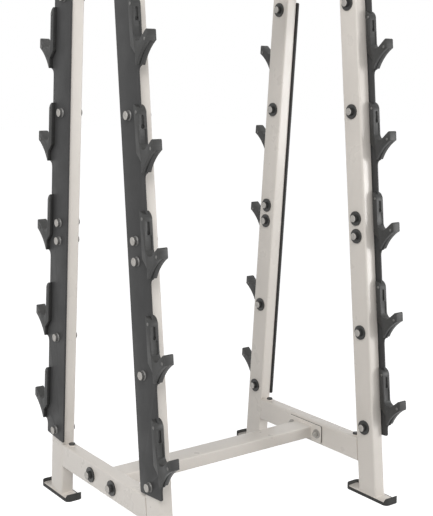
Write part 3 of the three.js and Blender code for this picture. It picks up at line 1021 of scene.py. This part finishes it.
def makeCrossbarWeld(side, row, height, low, high):
    given = weld["crossbar"]
    stand = legPlace(side, row)
    lean = math.radians(leg["lean"])
    inner = -leg["depth"] / 2
    heights = [(z - inner * math.sin(lean)) / math.cos(lean) for z in (low.z, high.z)]
    halfWidth = (high.x - low.x) / 2 - given["inset"]
    halfHeight = (heights[1] - heights[0]) / 2 + given["rise"]
    middle = (heights[0] + heights[1]) / 2
    loop = roundLoop(halfWidth, halfHeight, given["corner"])
    points = [stand @ Vector((p.x, inner - given["gap"], middle + p.y)) for p in loop]
    name = f"crossbarWeld_{height}_{side}_{row}"
    addPiece(name, makeBead(name, points, given["bead"]), "framePaint")


for side in sides:
    for height in heights:
        makeCrossbar(side, height)
print("crossbars made")


# Plugs of the lower crossbars: a black cap on a painted collar

plug = {
    "steps": 32,
    "smoothness": 40,
    "collar": [
        (0, -0.004),
        (0.0074, -0.004),
        (0.0074, 0.0002),
        (0.0104, 0.0002),
        (0.0104, 0.0044),
        (0, 0.0044),
    ],
    "cap": [
        (0, 0.0042),
        (0.0108, 0.0042),
        (0.0112, 0.0048),
        (0.0112, 0.0084),
        (0.0107, 0.0093),
        (0.0098, 0.0097),
        (0, 0.0097),
    ],
}


def makePlugs():
    parts = turnedSet(plug, [
        ("plugCollar", "collar", "framePaint"),
        ("plugCap", "cap", "capPlastic"),
    ])
    upright = Matrix.Rotation(-math.pi / 2, 4, "Y")
    for side, row in legs:
        node = f"crossbar_plug_{side}_{row}"
        low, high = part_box(node)
        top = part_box(f"crossbar_lower_{side}")[1].z
        spot = Matrix.Translation(((low.x + high.x) / 2, (low.y + high.y) / 2, top))
        for name, (mesh, finish) in parts.items():
            addPiece(f"{name}_{side}_{row}", placed(mesh, spot @ upright), finish, node)


makePlugs()
print("plugs made")


# Beams and their end plates, with a dark sheet behind each plate as painted shade along its edges

beam = {
    "depth": 0.082,
    "height": 0.044,
    "corner": 0.005,
    "cornerSegments": 5,
    "plate": 0.006,
    "plateCorner": 0.006,
    # thickness of a dark sheet behind each plate: painted shade along the plate's top and side edges
    "shadeSheet": 0.0036,
    "shadeSheetInset": 0.0004,
    "plateSegments": 5,
    "edge": 0.0006,
    "edgeSegments": 2,
    "edgeAngle": 60,
}


def makeBeam(height):
    node = f"beam_{height}"
    low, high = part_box(node)
    middle = (low + high) / 2
    size = high - low
    tubeSize = (size.x - beam["plate"], beam["depth"], beam["height"])
    tube = makeBlock(tubeSize, middle, 0, beam["corner"], beam["cornerSegments"])
    addPiece(f"beamTube_{height}", toMesh("beamTube", tube), "framePaint", node)
    corner = beam["plateCorner"]
    segments = beam["plateSegments"]
    for side, sign in sides.items():
        outer = high.x if sign > 0 else low.x
        thickness = beam["plate"] - beam["shadeSheet"]
        centre = (outer - sign * (beam["plate"] - thickness / 2), middle.y, middle.z)
        plate = makeBlock((thickness, size.y, size.z), centre, 0, corner, segments)
        roundEdges(plate, sharpEdges(plate, beam["edgeAngle"]), beam["edge"], beam["edgeSegments"])
        addPiece(f"beamPlate_{height}_{side}", toMesh("beamPlate", plate), "framePaint", node)
        # the dark sheet between the plate and the crossbar is set in a little from the plate's edges; it
        # is painted shade and no real part
        centre = (outer - sign * beam["shadeSheet"] / 2, middle.y, middle.z)
        inset = 2 * beam["shadeSheetInset"]
        shadeSheetSize = (beam["shadeSheet"], size.y - inset, size.z - inset)
        shadeSheet = makeBlock(shadeSheetSize, centre, 0, corner, segments)
        addPiece(f"beamShadeSheet_{height}_{side}", toMesh("beamShadeSheet", shadeSheet), "capPlastic", node)
        given = weld["beam"]
        loop = roundLoop(
            beam["depth"] / 2 - given["inset"], beam["height"] / 2 - given["inset"], given["corner"]
        )
        face = outer - sign * (beam["plate"] + given["rise"])
        points = [Vector((face, middle.y + p.x, middle.z + p.y)) for p in loop]
        name = f"beamWeld_{height}_{side}"
        addPiece(name, makeBead(name, points, given["bead"]), "framePaint")


for height in heights:
    makeBeam(height)
print("beams made")


# Beam bolts: head and broad washer outside the crossbar, the silver head's sides in black as painted
# shade; washer and hexagon nut inside

beamBolt = {
    "steps": 32,
    "smoothness": 24,
    "seat": 0.0003,
    "washer": broadWasher,
    "head": [(0, 0.0048), (0.0130, 0.0048), (0.0130, 0.0158), (0.0127, 0.0166), (0, 0.0166)],
    "headFace": [(0, 0.0164), (0.0126, 0.0164), (0.0122, 0.0177), (0.0110, 0.0186), (0, 0.0190)],
    "nutWasher": [
        (0, -0.0002),
        (0.0168, -0.0002),
        (0.0170, 0.0003),
        (0.0170, 0.0026),
        (0.0166, 0.0030),
        (0, 0.0030),
    ],
    "stud": [(0, 0.010), (0.0060, 0.010), (0.0060, 0.0166), (0.0052, 0.0172), (0, 0.0172)],
    "nutSides": 6,
    "nutRadius": 0.011,
    "nutSeat": 0.003,
    "nutHeight": 0.0108,
    "nutEdge": 0.0007,
    "nutSegments": 2,
}


def makeHexNut():
    bm = bmesh.new()
    middle = beamBolt["nutSeat"] + beamBolt["nutHeight"] / 2
    turn = Matrix.Translation((middle, 0, 0)) @ Matrix.Rotation(math.pi / 2, 4, "Y")
    bmesh.ops.create_cone(
        bm,
        cap_ends=True,
        segments=beamBolt["nutSides"],
        radius1=beamBolt["nutRadius"],
        radius2=beamBolt["nutRadius"],
        depth=beamBolt["nutHeight"],
        matrix=turn,
    )
    roundEdges(bm, sharpEdges(bm), beamBolt["nutEdge"], beamBolt["nutSegments"])
    return bm


def makeBeamBolts():
    outerParts = turnedSet(beamBolt, [
        ("beamBoltWasher", "washer", "washerBlackAndShade"),
        # black sides on a silver head: painted shade
        ("beamBoltHead", "head", "washerBlackAndShade"),
        ("beamBoltFace", "headFace", "boltSteel"),
    ])
    innerParts = turnedSet(beamBolt, [("beamBoltNutWasher", "nutWasher", "boltSteel")])
    innerParts["beamBoltNut"] = (toMesh("beamBoltNut", makeHexNut()), "boltSteel")
    innerParts.update(turnedSet(beamBolt, [("beamBoltStud", "stud", "boltSteel")]))
    for height in heights:
        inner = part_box(f"beam_{height}")[1].x - beam["plate"]
        for side, row in legs:
            sign = sides[side]
            node = f"beam_{height}_bolt_{side}_{row}"
            low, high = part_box(node)
            centre = (low + high) / 2
            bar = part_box(f"crossbar_{height}_{side}")
            outer = bar[1].x if sign > 0 else bar[0].x
            seat = sign * beamBolt["seat"]
            outside = Matrix.Translation((outer + seat, centre.y, centre.z)) @ turnedTo(sign > 0)
            inside = Matrix.Translation((sign * inner - seat, centre.y, centre.z)) @ turnedTo(sign < 0)
            for parts, spot in ((outerParts, outside), (innerParts, inside)):
                for name, (mesh, finish) in parts.items():
                    addPiece(f"{name}_{height}_{side}_{row}", placed(mesh, spot), finish, node)


makeBeamBolts()
print("beam bolts made")


# Feet: a steel plate under each leg, in a rubber shoe with raised ends

foot = {
    "cornerSegments": 6,
    "edgeSegments": 2,
    "plateCorner": 0.012,
    "plateEdge": 0.0008,
    "plateAngle": 60,
    "shoeCorner": 0.016,
    "base": 0.004,
    "wall": 0.004,
    "sideHeight": 0.010,
    "lipLength": 0.006,
    "lipSlope": 0.008,
    "shoeEdge": 0.0012,
    "shoeAngle": 40,
    # how far each shoe reaches past the CAD's at its low and its high end along Y
    "reach": {
        "left_front": (0.010, 0.010),
        "right_front": (0.010, 0.010),
        "left_rear": (0.008, 0.010),
        "right_rear": (0, 0.010),
    },
    "lipRise": 0.003,  # how much higher the lip at the low end is
}


def makeShoeGap(length, width, lipHeight, middle):
    # what is cut from the tray's wall between its two raised ends
    half = length / 2 - foot["lipLength"]
    bm = bmesh.new()
    first = bm.verts.new((0, -half + foot["lipSlope"], foot["sideHeight"]))
    last = lineTo(bm, first, half - foot["lipSlope"], foot["sideHeight"])
    last = lineTo(bm, last, half, lipHeight - foot["lipRise"])
    last = lineTo(bm, last, half + overrun, lipHeight - foot["lipRise"])
    last = lineTo(bm, last, half + overrun, lipHeight + overrun)
    last = lineTo(bm, last, -half, lipHeight + overrun)
    last = lineTo(bm, last, -half, lipHeight)
    fillOutline(bm, first, last)
    thicken(bm, width + overrun)
    bmesh.ops.translate(bm, verts=bm.verts[:], vec=(middle.x, middle.y, 0))
    return bm


def longerBox(node, side, row):
    # a CAD node's box, reaching as far along Y as the shoe does
    low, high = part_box(node)
    before, after = foot["reach"][f"{side}_{row}"]
    return low - Vector((0, before, 0)), high + Vector((0, after, 0))


def makeShoe(side, row):
    node = f"foot_shoe_{side}_{row}"
    low, high = longerBox(node, side, row)
    high = high + Vector((0, 0, foot["lipRise"]))
    size = high - low
    middle = (low + high) / 2
    segments = foot["cornerSegments"]
    body = makeBlock(size, middle, 2, foot["shoeCorner"], segments)
    walls = 2 * foot["wall"]
    traySize = (size.x - walls, size.y - walls, size.z)
    trayMiddle = (middle.x, middle.y, middle.z + foot["base"])
    tray = makeBlock(traySize, trayMiddle, 2, foot["shoeCorner"] - foot["wall"], segments)
    body = cutWith(body, [tray, makeShoeGap(size.y, size.x, size.z, middle)])
    roundEdges(body, sharpEdges(body, foot["shoeAngle"]), foot["shoeEdge"], foot["edgeSegments"])
    addPiece(f"shoe_{side}_{row}", toMesh("shoe", body), "shoeRubber", node)


def makeFootPlate(side, row):
    node = f"foot_plate_{side}_{row}"
    low, high = longerBox(node, side, row)
    plate = makeBlock(high - low, (low + high) / 2, 2, foot["plateCorner"], foot["cornerSegments"])
    roundEdges(plate, sharpEdges(plate, foot["plateAngle"]), foot["plateEdge"], foot["edgeSegments"])
    addPiece(f"footPlate_{side}_{row}", toMesh("footPlate", plate), "framePaint", node)


def makeFootWeld(side, row):
    given = weld["foot"]
    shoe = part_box(f"foot_shoe_{side}_{row}")
    stand = (shoe[0] + shoe[1]) / 2
    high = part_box(f"foot_plate_{side}_{row}")[1]
    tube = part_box(f"upright_{side}_{row}")
    centre = stand.y - rows[row] * high.z * math.tan(math.radians(leg["lean"]))
    halfDepth = leg["depth"] / 2 / math.cos(math.radians(leg["lean"]))
    halfWidth = (tube[1].x - tube[0].x) / 2
    loop = roundLoop(halfWidth - given["inset"], halfDepth - given["inset"], given["corner"])
    points = [Vector((stand.x + p.x, centre + p.y, high.z + given["rise"])) for p in loop]
    name = f"footWeld_{side}_{row}"
    addPiece(name, makeBead(name, points, given["bead"]), "framePaint")


for side, row in legs:
    makeShoe(side, row)
    makeFootPlate(side, row)
    makeFootWeld(side, row)
print("feet made")


# Caps in the tops of the legs

cap = {
    "edge": 0.0014,
    "edgeSegments": 3,
    "overlap": 0.0003,
}


def makeCap(side, row):
    node = f"top_cap_{side}_{row}"
    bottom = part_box(f"upright_{side}_{row}")[1].z - cap["overlap"]
    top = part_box(node)[1].z
    bm = makeLegLength(side, row, bottom, top)
    rim = [e for e in bm.edges if all(abs(v.co.z - top) < touching for v in e.verts)]
    roundEdges(bm, rim, cap["edge"], cap["edgeSegments"])
    addPiece(f"legCap_{side}_{row}", toMesh("legCap", bm), "capPlastic", node)


for side, row in legs:
    makeCap(side, row)
print("caps made")


# Stage and light. The camera sees the floor and the world whiter than the light they give off.

stage = {
    "floorSize": 30,
    "floorColor": (0.6, 0.6, 0.6, 1),
    "floorRoughness": 0.8,
    "floorSpecular": 0.1,
    "floorGlow": 0.84,
    "white": (1, 1, 1, 1),
    "softStrength": 0.26,
    "seenStrength": 1,
    "aim": (0, 0, 0.9),
}
lamps = {
    "key": {"place": (2.6, -2.5, 1.0), "size": 1.2, "power": 38},
    "front": {"place": (1.4, -3.6, 0.8), "size": 1.4, "power": 13},
    "frontFill": {"place": (-2.28, -2.28, 3.6), "size": 2.2, "power": 82},
    "sideFill": {"place": (-3.79, -0.33, 2.68), "size": 2.2, "power": 46},
}


def seenDirectly(tree):
    # 1 for rays that come from the camera or are mirrored or refracted, else 0
    rays = tree.nodes.new("ShaderNodeLightPath")
    value = rays.outputs["Is Camera Ray"]
    for label in ("Is Glossy Ray", "Is Transmission Ray"):
        either = tree.nodes.new("ShaderNodeMath")
        either.operation = "MAXIMUM"
        tree.links.new(value, either.inputs[0])
        tree.links.new(rays.outputs[label], either.inputs[1])
        value = either.outputs[0]
    return value


def makeFloor():
    bm = bmesh.new()
    bmesh.ops.create_grid(bm, x_segments=1, y_segments=1, size=stage["floorSize"])
    mesh = bpy.data.meshes.new("floor")
    bm.to_mesh(mesh)
    bm.free()
    floor = bpy.data.objects.new("floor", mesh)
    bpy.context.scene.collection.objects.link(floor)
    material = bpy.data.materials.new("paleFloor")
    material.use_nodes = True
    tree = material.node_tree
    principled = tree.nodes["Principled BSDF"]
    principled.inputs["Base Color"].default_value = stage["floorColor"]
    principled.inputs["Roughness"].default_value = stage["floorRoughness"]
    principled.inputs["Specular IOR Level"].default_value = stage["floorSpecular"]
    seen = seenDirectly(tree)
    share = tree.nodes.new("ShaderNodeMath")
    share.operation = "MULTIPLY"
    share.inputs[1].default_value = stage["floorGlow"]
    tree.links.new(seen, share.inputs[0])
    white = tree.nodes.new("ShaderNodeEmission")
    tree.links.new(share.outputs[0], white.inputs["Strength"])
    both = tree.nodes.new("ShaderNodeAddShader")
    tree.links.new(principled.outputs[0], both.inputs[0])
    tree.links.new(white.outputs[0], both.inputs[1])
    tree.links.new(both.outputs[0], tree.nodes["Material Output"].inputs["Surface"])
    mesh.materials.append(material)


def makeWorld():
    world = bpy.data.worlds.new("studio")
    bpy.context.scene.world = world
    world.use_nodes = True
    tree = world.node_tree
    soft = tree.nodes["Background"]
    soft.inputs["Color"].default_value = stage["white"]
    soft.inputs["Strength"].default_value = stage["softStrength"]
    white = tree.nodes.new("ShaderNodeBackground")
    white.inputs["Color"].default_value = stage["white"]
    white.inputs["Strength"].default_value = stage["seenStrength"]
    mix = tree.nodes.new("ShaderNodeMixShader")
    tree.links.new(seenDirectly(tree), mix.inputs[0])
    tree.links.new(soft.outputs[0], mix.inputs[1])
    tree.links.new(white.outputs[0], mix.inputs[2])
    tree.links.new(mix.outputs[0], tree.nodes["World Output"].inputs["Surface"])


def makeLamp(name, given):
    data = bpy.data.lights.new(name, "AREA")
    data.size = given["size"]
    data.energy = given["power"]
    lamp = bpy.data.objects.new(name, data)
    lamp.location = given["place"]
    aim = Vector(stage["aim"]) - lamp.location
    lamp.rotation_euler = aim.to_track_quat("-Z", "Y").to_euler()
    bpy.context.scene.collection.objects.link(lamp)


makeFloor()
makeWorld()
for name, given in lamps.items():
    makeLamp(name, given)
bpy.context.scene.view_settings.view_transform = "Standard"
print("stage and light made")
